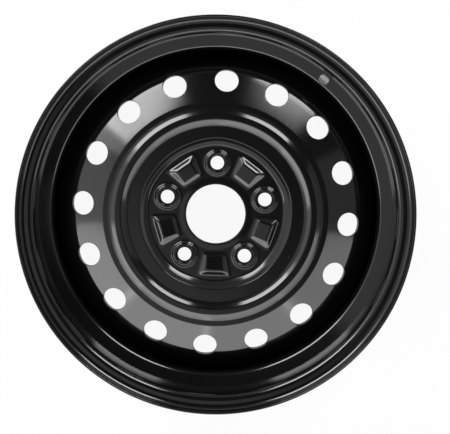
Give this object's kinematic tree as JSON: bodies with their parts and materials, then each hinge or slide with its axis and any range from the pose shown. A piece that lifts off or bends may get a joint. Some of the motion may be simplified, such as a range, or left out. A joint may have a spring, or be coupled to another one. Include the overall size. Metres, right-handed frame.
{
  "type": "steel wheel rim",
  "caption": "Bare steel road wheel: a rolled drop-centre rim with a pressed disc welded inside it, round hand holes, coned nut seats, a centre bore and a valve hole.",
  "frame": {"origin": "on the wheel's axis, midway between the two rim flanges", "axes": "+Z along the wheel's axis towards its street side, so that the wheel lies flat on its car-side flange; +Y is up in the picture's view"},
  "size_m": [0.4402, 0.4402, 0.1906],
  "materials": {
    "black_paint": "gloss black dip paint over steel"
  },
  "bodies": {
    "root": {"rim": "black_paint", "disc": "black_paint", "weld_1": "black_paint", "weld_2": "black_paint", "weld_3": "black_paint", "weld_4": "black_paint", "weld_5": "black_paint", "weld_6": "black_paint", "weld_7": "black_paint", "weld_8": "black_paint"}
  },
  "joints": []
}
